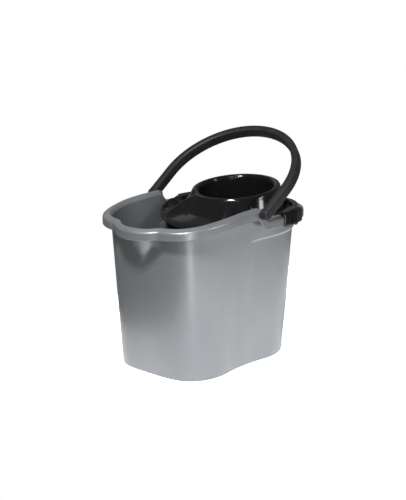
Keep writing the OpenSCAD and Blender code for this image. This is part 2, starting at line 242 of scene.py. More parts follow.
def plan(b, phi, z, d):
    """Point of the outer wall at height z in direction phi, moved outwards by d."""
    r, q = oval(b, phi, z, d), spout(b, phi, z, d)
    if q > 0:
        r = (r + q + math.hypot(r - q, SPOUT_FILLET)) / 2
    x, y = r * math.cos(phi), r * math.sin(phi)
    half = mix(b.base_half, b.mouth_half, z / b.rear_height) + d
    waist = b.waist_depth * (1 - (1 - WAIST_LEFT) * unit(z / b.rear_height) ** 1.5)
    waist *= math.exp(-(abs(x) / WAIST_SPAN) ** 3)
    return x, y - math.copysign(waist, y) * (y / half) ** 2


SHOULDER_START, SHOULDER_GROWTH = -6.0, 26.0  # where the shoulder starts, and the length that it grows over
STEP_SLOPE, TUCK_REACH = 4.0, 150.0  # heights of the shoulder's slope and of the fade below it


def wall_at(b, phi, z, d):
    """As plan, with the wall below the rear shoulder standing in by the shoulder's step."""
    x = plan(b, phi, z, d)[0]
    up = z - (b.rear_height - b.shoulder_drop) + STEP_SLOPE / 2
    tuck = b.shoulder_step * smooth((x - SHOULDER_START) / SHOULDER_GROWTH)
    tuck *= (1 - smooth(up / STEP_SLOPE)) * smooth(1 + up / TUCK_REACH)
    return (*plan(b, phi, z, d - tuck), z)


STEP_LENGTH = 24.0  # the rim steps down from its crest over this length
EDGE_LEAD = 5.0  # the band's lower edge steps down this much earlier
CREST_BACK = 6.5  # the crest ends this far ahead of the pivots
SWEEP_LEAD = 12.0  # the rim's rise to the crest starts this far ahead of the front wall


def rim_z(b, x):
    crest = PIVOT[0] / MM - CREST_BACK
    top = b.rear_height + b.crest_rise
    start = b.mouth_front + SWEEP_LEAD
    if x < crest:
        rise = math.sin(math.pi / 2 * unit((x + start) / (crest + start)))
        return mix(b.rear_height + b.spout_rise, top, rise)
    return mix(top, b.rear_height, smooth((x - crest) / STEP_LENGTH))


def rim_at(b, phi, d, drop):
    """Point of the rim, d outside the wall's inner face and drop below the rim's top."""
    x, y = plan(b, phi, b.rear_height, d - b.wall)
    return x, y, rim_z(b, plan(b, phi, b.rear_height, -b.wall)[0]) - drop


def band_foot(b, phi, d, up=0.0):
    """Point of the rim band's lower edge, d outside the wall's inner face and up above the edge."""
    x, y = plan(b, phi, b.rear_height, d - b.wall)
    return x, y, rim_z(b, plan(b, phi, b.rear_height, -b.wall)[0] + EDGE_LEAD) - b.rim_height + up


def even_angles(b, count):
    """Directions that step evenly along the rim."""
    fine = 2880
    points = [Vector(plan(b, 2 * math.pi * i / fine, b.rear_height, 0)) for i in range(fine + 1)]
    run = [0.0]
    for p, q in zip(points, points[1:]):
        run.append(run[-1] + (q - p).length)
    angles, i = [], 0
    for k in range(count):
        want = run[-1] * k / count
        while run[i + 1] < want:
            i += 1
        angles.append(2 * math.pi * (i + (want - run[i]) / (run[i + 1] - run[i])) / fine)
    return angles


# ---- Meshes ----

def mesh_from(name, points, faces, scale=MM):
    mesh = bpy.data.meshes.new(name)
    mesh.from_pydata([Vector(p) * scale for p in points], [], faces)
    mesh.update()
    return mesh


def loft(rows, along=False, caps=()):
    """Points and faces of a skin over closed rows of points. along joins its last row to the
    first, and caps closes its ends."""
    n, m = len(rows[0]), len(rows)
    points = [p for row in rows for p in row]
    faces = []
    for i in range(m if along else m - 1):
        for j in range(n):
            a, c = i * n + j, i * n + (j + 1) % n
            e, g = (i + 1) % m * n + j, (i + 1) % m * n + (j + 1) % n
            faces.append((a, c, g, e))
    if "start" in caps:
        faces.append(tuple(range(n - 1, -1, -1)))
    if "end" in caps:
        faces.append(tuple((m - 1) * n + j for j in range(n)))
    return points, faces


def turned(profile, steps, matrix=None):
    """A solid of revolution about Z from (radius, height) points; an end on the axis becomes a fan."""
    points, faces, index = [], [], []
    turns = [2 * math.pi * k / steps for k in range(steps)]
    for r, h in profile:
        if r < 1e-6:
            index.append([len(points)] * steps)
            points.append(Vector((0, 0, h)))
        else:
            index.append([len(points) + k for k in range(steps)])
            points += [Vector((r * math.cos(a), r * math.sin(a), h)) for a in turns]
    for low, high in zip(index, index[1:]):
        for k in range(steps):
            face = (low[k], low[(k + 1) % steps], high[(k + 1) % steps], high[k])
            face = tuple(dict.fromkeys(face))
            if len(face) > 2:
                faces.append(face)
    if matrix:
        points = [matrix @ p for p in points]
    return points, faces


def tube(path, radius, sides=8):
    """A closed round bead along a closed path."""
    n, rows = len(path), []
    for i, p in enumerate(path):
        along = (path[(i + 1) % n] - path[i - 1]).normalized()
        across = along.cross(Vector((0, 0, 1))).normalized()
        up = along.cross(across)
        rows.append([p + radius * (math.cos(a) * across + math.sin(a) * up)
                     for a in (2 * math.pi * k / sides for k in range(sides))])
    return loft(rows, along=True)


def joined(*parts):
    points, faces = [], []
    for more_points, more_faces in parts:
        start = len(points)
        points += list(more_points)
        faces += [tuple(i + start for i in f) for f in more_faces]
    return points, faces


def tidy(mesh, crease=35.0):
    """Merges doubles, points the faces outwards and shades the mesh smooth up to the crease angle."""
    bm = bmesh.new()
    bm.from_mesh(mesh)
    bmesh.ops.remove_doubles(bm, verts=bm.verts, dist=1e-6)
    bmesh.ops.recalc_face_normals(bm, faces=bm.faces)
    bm.to_mesh(mesh)
    bm.free()
    mesh.shade_smooth()
    mesh.set_sharp_from_angle(angle=math.radians(crease))
    return mesh


def link(name, mesh):
    piece = bpy.data.objects.new(name, mesh)
    bpy.context.scene.collection.objects.link(piece)
    return piece


def settled(piece):
    """Turns the piece with its modifiers into a plain mesh."""
    evaluated = piece.evaluated_get(bpy.context.evaluated_depsgraph_get())
    mesh = bpy.data.meshes.new_from_object(evaluated)
    piece.modifiers.clear()
    piece.data = mesh
    return mesh


def cut(piece, tool, operation):
    """Adds or takes away a closed tool from the piece."""
    other = link("tool", tidy(mesh_from("tool", *tool)))
    modifier = piece.modifiers.new(operation, "BOOLEAN")
    modifier.object, modifier.operation, modifier.solver = other, operation, "EXACT"
    settled(piece)
    bpy.data.objects.remove(other)


def place(piece, node, body, material):
    piece.data.materials.clear()
    piece.data.materials.append(material)
    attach(piece, body)
    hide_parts(node)


# ---- Nodes ----

def add(tree, kind, links=None, **settings):
    """Adds a node. links gives its inputs by name or number, as values or other sockets."""
    node = tree.nodes.new(kind)
    for name, value in settings.items():
        setattr(node, name, value)
    for key, value in (links or {}).items():
        if isinstance(value, bpy.types.NodeSocket):
            tree.links.new(value, node.inputs[key])
        else:
            node.inputs[key].default_value = value
    return node


def linear(hex_value):
    channels = [int(hex_value[i:i + 2], 16) / 255 for i in (1, 3, 5)]
    return (*(c / 12.92 if c <= 0.04045 else ((c + 0.055) / 1.055) ** 2.4 for c in channels), 1.0)


def plastic(name, **inputs):
    material = bpy.data.materials.new(name)
    material.use_nodes = True
    tree = material.node_tree
    tree.nodes.clear()
    shader = add(tree, "ShaderNodeBsdfPrincipled", {k.replace("_", " ").title().replace("Ior", "IOR"): v
                                                    for k, v in inputs.items()})
    add(tree, "ShaderNodeOutputMaterial", {"Surface": shader.outputs[0]})
    return material, tree, shader


def flake_silver(f):
    """Injection-moulded polypropylene with aluminium flake: a soft metallic sheen that
    mottles faintly, with slow streaks where the melt flowed up the walls."""
    material, tree, shader = plastic("flake_silver_polypropylene", metallic=0.55, ior=1.49,
                                     coat_weight=0.25, coat_roughness=0.22)
    place_of = add(tree, "ShaderNodeTexCoord").outputs["Object"]
    # Real flake is about 0.1 mm, which is drawn as a mottle of about 1.4 mm so that it shows.
    # The streaks of the melt are about 11 cm across and 20 cm tall.
    flake = add(tree, "ShaderNodeTexNoise", {"Vector": place_of, "Scale": 700.0, "Detail": 2.0})
    stretched = add(tree, "ShaderNodeMapping", {"Vector": place_of, "Scale": (9.0, 9.0, 5.0)})
    flow = add(tree, "ShaderNodeTexNoise", {"Vector": stretched.outputs[0], "Scale": 1.0, "Detail": 3.0})
    amount = add(tree, "ShaderNodeMath", {0: flake.outputs[0], 1: flow.outputs[0]}, operation="ADD")
    spread = add(tree, "ShaderNodeMapRange", {"Value": amount.outputs[0], 1: 0.55, 2: 1.45, 3: 0.0, 4: 1.0})
    shade = add(tree, "ShaderNodeMix", {"Factor": spread.outputs[0], "A": linear(f.silver_dark),
                                        "B": linear(f.silver)}, data_type="RGBA")
    tree.links.new(shade.outputs["Result"], shader.inputs["Base Color"])
    rough = add(tree, "ShaderNodeMapRange", {"Value": flake.outputs[0], 1: 0.3, 2: 0.7, 3: 0.34, 4: 0.41})
    tree.links.new(rough.outputs[0], shader.inputs["Roughness"])
    bump = add(tree, "ShaderNodeBump", {"Height": flake.outputs[0], "Strength": 0.04, "Distance": 0.0003})
    tree.links.new(bump.outputs[0], shader.inputs["Normal"])
    return material


def satin_charcoal(f):
    """Charcoal polypropylene from a spark-eroded mould: an even satin with a fine grain."""
    material, tree, shader = plastic("satin_charcoal_polypropylene", ior=1.49, specular_ior_level=0.3)
    place_of = add(tree, "ShaderNodeTexCoord").outputs["Object"]
    # The grain is about 0.5 mm, drawn twice as coarse so that it shows. Its shade drifts over 17 mm.
    grain = add(tree, "ShaderNodeTexVoronoi", {"Vector": place_of, "Scale": 1000.0})
    cloud = add(tree, "ShaderNodeTexNoise", {"Vector": place_of, "Scale": 60.0, "Detail": 4.0})
    spread = add(tree, "ShaderNodeMapRange", {"Value": cloud.outputs[0], 1: 0.35, 2: 0.65, 3: 0.0, 4: 1.0})
    shade = add(tree, "ShaderNodeMix", {"Factor": spread.outputs[0], "A": linear(f.charcoal),
                                        "B": linear(f.charcoal_light)}, data_type="RGBA")
    tree.links.new(shade.outputs["Result"], shader.inputs["Base Color"])
    rough = add(tree, "ShaderNodeMapRange", {"Value": cloud.outputs[0], 1: 0.3, 2: 0.7, 3: 0.46, 4: 0.56})
    tree.links.new(rough.outputs[0], shader.inputs["Roughness"])
    bump = add(tree, "ShaderNodeBump", {"Height": grain.outputs[0], "Strength": 0.02, "Distance": 0.0002})
    tree.links.new(bump.outputs[0], shader.inputs["Normal"])
    return material


def gloss_black(f):
    """Black polypropylene from a polished mould: deep gloss with the faint ripple of
    sink behind its ribs, so that highlights are sharp but waver."""
    material, tree, shader = plastic("gloss_black_polypropylene", ior=1.49, specular_ior_level=0.32,
                                     base_color=linear(f.black))
    place_of = add(tree, "ShaderNodeTexCoord").outputs["Object"]
    # The ripple is about 25 mm long, as far apart as ribs are, and the haze comes in spots of 4 mm.
    ripple = add(tree, "ShaderNodeTexNoise", {"Vector": place_of, "Scale": 40.0, "Detail": 1.0})
    haze = add(tree, "ShaderNodeTexNoise", {"Vector": place_of, "Scale": 260.0, "Detail": 5.0})
    rough = add(tree, "ShaderNodeMapRange", {"Value": haze.outputs[0], 1: 0.3, 2: 0.7, 3: 0.10, 4: 0.15})
    tree.links.new(rough.outputs[0], shader.inputs["Roughness"])
    bump = add(tree, "ShaderNodeBump", {"Height": ripple.outputs[0], "Strength": 0.25, "Distance": 0.0012})
    tree.links.new(bump.outputs[0], shader.inputs["Normal"])
    return material


MAKERS = {"silver_plastic": flake_silver, "charcoal_plastic": satin_charcoal, "black_plastic": gloss_black}
MADE = {}


def finish_for(slot):
    if slot not in MADE:
        MADE[slot] = MAKERS[slot](bpy.context.scene.bucket_finishes)
    return MADE[slot]


def geometry_tree(name, inputs):
    """A Geometry Nodes tree with a geometry input and output and the named inputs."""
    tree = bpy.data.node_groups.new(name, "GeometryNodeTree")
    tree.interface.new_socket("Geometry", in_out="OUTPUT", socket_type="NodeSocketGeometry")
    tree.interface.new_socket("Geometry", in_out="INPUT", socket_type="NodeSocketGeometry")
    for label, value in inputs.items():
        kind = "NodeSocketMaterial" if isinstance(value, bpy.types.Material) else (
            "NodeSocketInt" if isinstance(value, int) else "NodeSocketFloat")
        tree.interface.new_socket(label, in_out="INPUT", socket_type=kind)
    return tree, tree.nodes.new("NodeGroupInput"), tree.nodes.new("NodeGroupOutput")


def ring_of(tree, unit_geometry, count, phase=0.0):
    """Copies a unit round the Z axis."""
    points = add(tree, "GeometryNodePoints", {"Count": count})
    index = add(tree, "GeometryNodeInputIndex")
    shifted = add(tree, "ShaderNodeMath", {0: index.outputs[0], 1: phase}, operation="ADD")
    share = add(tree, "ShaderNodeMath", {0: shifted.outputs[0], 1: count}, operation="DIVIDE")
    angle = add(tree, "ShaderNodeMath", {0: share.outputs[0], 1: 2 * math.pi}, operation="MULTIPLY")
    turn = add(tree, "ShaderNodeCombineXYZ", {"Z": angle.outputs[0]})
    copies = add(tree, "GeometryNodeInstanceOnPoints", {
        "Points": points.outputs[0], "Instance": unit_geometry, "Rotation": turn.outputs[0]})
    return add(tree, "GeometryNodeRealizeInstances", {"Geometry": copies.outputs[0]}).outputs[0]


def run_tree(piece, tree, inputs):
    modifier = piece.modifiers.new(tree.name, "NODES")
    modifier.node_group = tree
    for item in tree.interface.items_tree:
        if item.in_out == "INPUT" and item.name in inputs:
            modifier[item.identifier] = inputs[item.name]
    return settled(piece)


# ---- Bucket ----

AROUND = 360  # points round the bucket


def boss_face(b):
    """Distance from the bucket's middle plane to the ends of the pivot bosses."""
    return b.mouth_half - b.wall + b.rim_width - b.boss_sink


def bucket_rows(b):
    """Rings of points up the outside, over the rim band and down the inside. The walls' rings are
    given as (height, move outwards), and the rim's as (distance outside the inner face, drop)."""
    angles = even_angles(b, AROUND)
    shoulder = b.rear_height - b.shoulder_drop
    high = b.rear_height - 30
    w = b.rim_width
    foot = [(b.foot_radius * (1 - math.cos(a)), -b.foot_radius * (1 - math.sin(a)))
            for a in (math.radians(15 * k) for k in range(7))]
    outer = foot + [(z, 0) for z in (20, 45, 70, 95, 120, 145, 170, 190, 207, 218)]
    outer += [(shoulder + up, 0) for up in (-8, -3, -1.8, -0.8, 0.4, 1.6, 2.6, 4)] + [(high, 0)]
    under = soften([(b.wall, 12), (b.wall + 1.1, 5.8), (b.wall + 3, 3.5), (w - 6, 4.4), (w - 3.4, 7.6),
                    (w - b.rim_wall, 12)], 1)
    # The band's top slopes outwards to a soft ridge above its upright face.
    crown = soften([(w, 13), (w, 8.4), (w - 0.5, 6.4), (w - 1.6, 5), (w - 4.5, 3.1), (7, 0.5), (5, 0.3),
                    (3, 2), (1, 5.5), (0, 9), (0, 13)], 2)
    inner = [(high, 0)] + [(shoulder + up, 0) for up in (4, 1.6, 0.4, -0.8, -2)]
    inner += [(z, 0) for z in (218, 190, 150, 110, 70, 40, b.floor + 8)]
    inner += [(b.floor + 5, -0.6), (b.floor + 2.4, -2.4), (b.floor + 0.7, -5), (b.floor, -8)]
    rows = [[wall_at(b, a, z, d) for a in angles] for z, d in outer]
    rows += [[rim_at(b, a, d, drop) for a in angles] for d, drop in under]
    rows += [[band_foot(b, a, w - b.rim_wall + d, up) for a in angles]
             for d, up in ((0, 0.8), (0.5, 0.2), (1.2, 0), (b.rim_wall - 0.6, 0.1), (b.rim_wall, 0.7))]
    rows += [[rim_at(b, a, d, drop) for a in angles] for d, drop in crown]
    rows += [[wall_at(b, a, z, d - b.wall) for a in angles] for z, d in inner]
    for t in (0.85, 0.6, 0.3):
        rows.append([(x * t, y * t, b.floor) for x, y, _ in rows[-1]])
    return [[(x * t, y * t, 0) for x, y, _ in rows[0]] for t in (0.3, 0.6, 0.85)] + rows


class MOPBUCKET_OT_bucket(bpy.types.Operator):
    """Builds the bucket with its spout, rim band and pivot bosses"""
    bl_idname = "mopbucket.bucket"
    bl_label = "Bucket"

    def execute(self, context):
        b, h = millimetres(context.scene.bucket_sizes), millimetres(context.scene.handle_sizes)
        points, faces = loft(bucket_rows(b), caps=("start", "end"))
        piece = link("bucket", tidy(mesh_from("bucket", points, faces)))
        bore_radius, bore_depth = h.pin_radius + h.pin_fit, h.pin_length + 1
        boss = [(0, 0), (b.boss_radius - 0.8, 0), (b.boss_radius, 0.8), (b.boss_radius, b.boss_length),
                (0, b.boss_length)]
        bore = [(0, -1), (bore_radius, -1), (bore_radius, bore_depth), (0, bore_depth)]
        for side in (-1, 1):
            place_of = Matrix.Translation((PIVOT[0] / MM, side * boss_face(b), PIVOT[2] / MM))
            frame_of = place_of @ Matrix.Rotation(math.radians(90) * side, 4, "X")
            cut(piece, turned(boss, 64, frame_of), "UNION")
            cut(piece, turned(bore, 64, frame_of), "DIFFERENCE")
        tidy(piece.data, 32)
        place(piece, "bucket_body", "bucket", finish_for("silver_plastic"))
        return {"FINISHED"}


# ---- Handle ----

BAIL_STEPS = 60
LEG_SHARE = 0.3  # share of the steps that the straight leg takes


def arch(h, foot, t):
    """Middle line of one half of the arch, as (across, height), for t from 0 at the pivot to 1."""
    if t < LEG_SHARE:
        return mix(foot, h.arch_half, smooth(t / LEG_SHARE * 0.5) * 2), h.straight * t / LEG_SHARE
    a = math.pi / 2 * (t - LEG_SHARE) / (1 - LEG_SHARE)
    return h.arch_half * max(0.0, math.cos(a)), h.straight + (h.arch_height - h.straight) * math.sin(a)


def rounded_section(t, w, r, corner=5):
    """Points round a rounded rectangle of half sizes t and w, as (outward, sideways)."""
    points = []
    for i, (a, c) in enumerate(((1, 1), (-1, 1), (-1, -1), (1, -1))):
        for k in range(corner + 1):
            angle = math.pi / 2 * (i + k / corner)
            points.append((a * (t - r) + r * math.cos(angle), c * (w - r) + r * math.sin(angle)))
    return points


class MOPBUCKET_OT_handle(bpy.types.Operator):
    """Builds the bail handle with its round feet and pivot pins"""
    bl_idname = "mopbucket.handle"
    bl_label = "Handle"

    def execute(self, context):
        b, h = millimetres(context.scene.bucket_sizes), millimetres(context.scene.handle_sizes)
        inside = boss_face(b) + GAP
        foot = inside + h.thickness / 2
        half = [arch(h, foot, i / BAIL_STEPS) for i in range(BAIL_STEPS + 1)]
        line = half + [(-y, z) for y, z in half[-2::-1]]
        section = rounded_section(h.thickness / 2, h.width / 2, h.edge_radius)
        rows = []
        for i, (y, z) in enumerate(line):
            y0, z0 = line[max(0, i - 1)]
            y1, z1 = line[min(len(line) - 1, i + 1)]
            run = math.hypot(y1 - y0, z1 - z0)
            out = ((z1 - z0) / run, -(y1 - y0) / run)
            rows.append([(side, y + out[0] * s, z + out[1] * s) for s, side in section])
        parts = [loft(rows, caps=("start", "end"))]
        r, t = h.width / 2 + GAP, h.thickness
        for side in (-1, 1):
            turn = Matrix.Rotation(math.radians(-90) * side, 4, "X")
            frame_of = Matrix.Translation((0, side * inside, 0)) @ turn
            disc = soften([(r - 2.4, 0), (r - 0.5, 0), (r, 0.5), (r, 1.5), (r, t - 3.4), (r - 0.7, t - 0.9),
                           (r - 3.4, t), (r - 5, t)], 2)
            parts.append(turned([(0, 0)] + disc + [(0, t)], 72, frame_of))
            pin = [(0, -h.pin_length), (h.pin_radius - 0.5, -h.pin_length),
                   (h.pin_radius, 0.5 - h.pin_length), (h.pin_radius, 1), (0, 1)]
            parts.append(turned(pin, 48, frame_of))
        points, faces = joined(*parts)
        lean = Matrix.Translation(Vector(PIVOT) / MM) @ Matrix.Rotation(h.lean, 4, "Y")
        mesh = tidy(mesh_from("handle", [lean @ Vector(p) for p in points], faces), 40)
        place(link("bail_handle", mesh), "handle", "bail", finish_for("charcoal_plastic"))
        return {"FINISHED"}


# ---- Wringer ----

HOOD_STEPS = 288
RING_DEPTH = 4.0  # depth of the lip's inner wall, which the basket hangs below
HIP, HIP_WIDTH = math.radians(147), math.radians(7)  # the straight ridges at both sides of the apron
TRAY_DIP = 13.0  # depth of the tray behind and beside the tower
CREASE_OUT, CREASE_DROP = 20.0, 8.0  # the crease below the tower, out from the lip and below the rear rim
BEAD_TURN, BEAD_OUT = math.radians(113), 17.0  # where the round beads stand, and how far out from the lip
BEAD_FLAT, BEAD_WIRE, BEAD_STEPS = 0.5, 0.55, 48  # a bead's squash, the radius of its wire and its points


def lip_reach(b, w, psi, d):
    """Where the ray from the cup's middle at angle psi meets the bucket's wall line moved out by d."""
    low, high = 0.0, 260.0
    for _ in range(24):
        middle = (low + high) / 2
        x, y = w.cup_x + middle * math.cos(psi), middle * math.sin(psi)
        if math.hypot(x, y) < math.hypot(*plan(b, math.atan2(y, x), b.rear_height, d - b.wall)):
            low = middle
        else:
            high = middle
    return (low + high) / 2


def hood_shape(b, w):
    """Returns a function that gives the hood's top as (radius, height) points at an angle."""
    start = PIVOT[0] / MM - CREST_BACK + STEP_LENGTH + 2  # the apron's sides leave the rim here
    half = b.mouth_half - b.wall - w.wall_gap - 1.5
    side = math.pi - math.atan(half / (w.cup_x - start))
    cup_z, rim = b.rear_height + w.cup_rise, w.cup_radius + w.lip
    turn = math.radians(12)

    def apron_reach(psi):
        c, s = math.cos(psi), math.sin(psi)
        a, k = w.apron_front + start, w.cup_x - start
        p, q, r = c * c / a ** 2 + s * s / half ** 2, 2 * k * c / a ** 2, k * k / a ** 2 - 1
        return (-q + math.sqrt(q * q - 4 * p * r)) / (2 * p)

    def profile(psi):
        bent = psi if psi <= math.pi else 2 * math.pi - psi
        front = smooth((bent - side) / math.radians(10))
        seat = mix(w.seat, -w.wall_gap, smooth((bent - side + math.radians(14)) / turn))
        out = apron_reach(psi) if bent > side else lip_reach(b, w, psi, seat)
        x = w.cup_x + out * math.cos(psi)
        drop = (w.apron_drop + GAP) * unit((start - x) / (start + w.apron_front))
        edge = b.rear_height + GAP - drop + w.thickness
        tip = cup_z + rim * math.cos(psi) * math.sin(w.tilt)
        room = out - rim
        # Over the rear rim the tower flares into a shallow tray and a flange.
        foot = rim + min(12, 0.42 * room)
        valley = out - max(w.seat + w.wall_gap + 2, 0.3 * room)
        low = edge - TRAY_DIP * smooth((room - 12) / 20)
        tray = [(rim, tip - 2), (rim + 0.18 * (foot - rim), mix(tip, low, 0.3)),
                (mix(rim, foot, 0.6), mix(tip, low, 0.7)), (foot, low),
                (mix(foot, valley, 0.6), low), (valley, mix(low, edge, 0.35)),
                (out - max(3, seat + w.wall_gap + 0.4), edge - 0.6)]
        # In front the steep tower meets the apron in a crease, between two straight hips.
        turn_r, turn_z = rim + min(CREASE_OUT, 0.4 * room), min(b.rear_height - CREASE_DROP, tip - 4)
        apron = [(rim, tip - 2), (rim + 2.5, mix(tip, turn_z, 0.2)),
                 (mix(rim, turn_r, 0.86), mix(tip, turn_z, 0.88)), (turn_r, turn_z),
                 (turn_r + 2.5, turn_z - 0.9), (mix(turn_r, out, 0.75), mix(turn_z, edge, 0.7) + 0.6),
                 (out - 3, edge + 1)]
        hip = math.exp(-((bent - HIP) / HIP_WIDTH) ** 2)
        fall = (edge + 1 - tip + 2) / (out - 3 - rim)
        apron = [(r, mix(z, tip - 2 + fall * (r - rim), hip)) for r, z in apron]
        shape = [tuple(mix(u, v, front) for u, v in zip(p, q)) for p, q in zip(tray, apron)]
        return shape + [(out - 1.2, edge), (out, edge - 0.8)]

    return profile


def bead(b, w, profile, side):
    """A round bead that lies on one side of the tower."""
    path = []
    for k in range(BEAD_STEPS):
        a = 2 * math.pi * k / BEAD_STEPS
        r = w.cup_radius + w.lip + BEAD_OUT + BEAD_FLAT * w.bead_radius * math.sin(a)
        psi = side * (BEAD_TURN + w.bead_radius * math.cos(a) / r)
        skin = soften(profile(psi % (2 * math.pi)), 2)
        low, high = next(pair for pair in zip(skin, skin[1:]) if pair[1][0] >= r)
        z = mix(low[1], high[1], (r - low[0]) / (high[0] - low[0]))
        path.append(Vector((w.cup_x + r * math.cos(psi), r * math.sin(psi), z)))
    return tube(path, BEAD_WIRE)


class MOPBUCKET_OT_hood(bpy.types.Operator):
    """Builds the wringer's hood with its rolled lip and its apron"""
    bl_idname = "mopbucket.hood"
    bl_label = "Wringer Hood"

    def execute(self, context):
        b, w = millimetres(context.scene.bucket_sizes), millimetres(context.scene.wringer_sizes)
        profile = hood_shape(b, w)
        cup_z = b.rear_height + w.cup_rise
        rim, t = w.cup_radius + w.lip, w.thickness

        def ring_point(psi, r, h):
            c, s = math.cos(w.tilt), math.sin(w.tilt)
            along = r * math.cos(psi)
            return w.cup_x + along * c - h * s, r * math.sin(psi), cup_z + along * s + h * c

        lip = soften([(w.cup_radius, -RING_DEPTH), (w.cup_radius, -1.2), (w.cup_radius + 0.5, 0.6),
                      (w.cup_radius + 1.6, 1.2), (w.cup_radius + w.lip * 0.45, 2.2), (rim - 1.6, 1.2)], 2)
        columns = []
        for i in range(HOOD_STEPS):
            psi = 2 * math.pi * i / HOOD_STEPS
            top = profile(psi)
            under = [(r - (t * 1.1 if k < 3 else 0), z - t) for k, (r, z) in enumerate(top[:7])]
            skin = soften(top, 2) + [(top[8][0], top[8][1] - t + 0.8)] + soften(under, 2)[::-1]
            columns.append([ring_point(psi, r, h) for r, h in lip]
                           + [(w.cup_x + r * math.cos(psi), r * math.sin(psi), z) for r, z in skin]
                           + [ring_point(psi, w.cup_radius + 4, -RING_DEPTH)])
        rows = [list(row) for row in zip(*columns)]
        beads = [bead(b, w, profile, side) for side in (-1, 1)]
        points, faces = joined(loft(rows, along=True), *beads)
        mesh = tidy(mesh_from("hood", points, faces), 40)
        place(link("wringer_hood_shell", mesh), "wringer_hood", "wringer",
              finish_for("black_plastic"))
        return {"FINISHED"}


COLLAR = 14.0  # height of the basket's collar, above the cone
RIB_RADIUS, RIB_SIDES, RIB_SHARE = 1.1, 10, 0.78  # RIB_SHARE is a rib's length over the basket's depth
SLOT_BAR, SLOT_BAR_OUT = 60.0, 15.0  # length of the bar that cuts a slot, and its middle outside the floor
DRILL_DEPTH = 12.0
HOLE_CIRCLE, MIDDLE_HOLE = 0.62, 1.5  # the holes' circle over the floor, and the middle hole over the rest


def cone_profile(w, top, foot):
    """The basket's section, up its outside and down its inside, as (radius, height)."""
    t, floor, mouth = w.basket_wall, w.basket_floor, w.cup_radius - GAP
    return [(0, foot - t), (floor + t - 3, foot - t), (floor + t - 0.9, foot - t + 0.9),
            (floor + t, foot - t + 3), (mouth + 0.1, top - COLLAR), (w.cup_radius + 2.4, top - 5.6),
            (w.cup_radius + 2.4, top), (mouth, top), (mouth, -2), (mouth - 0.4, -1.2), (mouth - 1.2, -1),
            (mouth - 1.8, -1.6), (mouth - t + 0.2, -3), (mouth - t, top - COLLAR), (floor, foot + 2),
            (floor - 0.7, foot + 0.6), (floor - 2, foot), (0, foot)]


def drain_tree(inputs, top_radius, top):
    """Cuts the drain slots and holes into the cone and adds the pressing ribs inside it."""
    tree, given, out = geometry_tree("Drain Slots and Ribs", inputs)
    g = given.outputs

    def value(first, operation, second):
        return add(tree, "ShaderNodeMath", {0: first, 1: second}, operation=operation).outputs[0]

    def moved(geometry, x, z, turn=(0, 0, 0)):
        spot = add(tree, "ShaderNodeCombineXYZ", {"X": x, "Z": z})
        return add(tree, "GeometryNodeTransform", {"Geometry": geometry, "Translation": spot.outputs[0],
                                                   "Rotation": turn}).outputs[0]

    def drill(radius):
        return add(tree, "GeometryNodeMeshCylinder", {"Vertices": 32, "Radius": radius,
                                                      "Depth": DRILL_DEPTH}).outputs[0]

    def together(*parts):
        join = add(tree, "GeometryNodeJoinGeometry")
        for part in parts:
            tree.links.new(part, join.inputs[0])
        return join.outputs[0]

    size = add(tree, "ShaderNodeCombineXYZ", {"X": SLOT_BAR, "Y": g["Slot Width"], "Z": g["Slot Length"]})
    bar = add(tree, "GeometryNodeMeshCube", {"Size": size.outputs[0]}).outputs[0]
    half = value(g["Slot Length"], "MULTIPLY", 0.5)
    low = value(half, "SUBTRACT", value(g["Depth"], "SUBTRACT", g["Slot Rise"]))
    high = value(low, "ADD", value(g["Slot Length"], "ADD", g["Slot Bridge"]))
    reach = value(g["Floor Radius"], "ADD", SLOT_BAR_OUT)
    slots = [ring_of(tree, moved(bar, reach, z), g["Slots"], 0.5) for z in (low, high)]
    base = value(0.0, "SUBTRACT", g["Depth"])
    circle = value(g["Floor Radius"], "MULTIPLY", HOLE_CIRCLE)
    holes = ring_of(tree, moved(drill(g["Hole Radius"]), circle, base), g["Floor Holes"])
    middle = moved(drill(value(g["Hole Radius"], "MULTIPLY", MIDDLE_HOLE)), 0.0, base)
    drained = add(tree, "GeometryNodeMeshBoolean", {
        "Mesh 1": g["Geometry"], "Mesh 2": together(*slots, holes, middle)}, operation="DIFFERENCE")
    # Each rib is a round bar half sunk into the slope of the cone. Every other rib crosses the slots.
    floor, foot = inputs["Floor Radius"], 2 - inputs["Depth"]
    slope = math.atan2(top_radius - floor, top - foot)
    rib = add(tree, "GeometryNodeMeshCylinder", {"Vertices": RIB_SIDES, "Radius": RIB_RADIUS,
                                                 "Depth": value(g["Depth"], "MULTIPLY", RIB_SHARE)})
    spot = moved(rib.outputs[0], (floor + top_radius) / 2 + 0.1, (top + foot) / 2, (0, slope, 0))
    both = together(drained.outputs[0], ring_of(tree, spot, g["Ribs"]))
    done = add(tree, "GeometryNodeRealizeInstances", {"Geometry": both})
    coated = add(tree, "GeometryNodeSetMaterial", {"Geometry": done.outputs[0], "Material": g["Finish"]})
    tree.links.new(coated.outputs[0], out.inputs[0])
    return tree


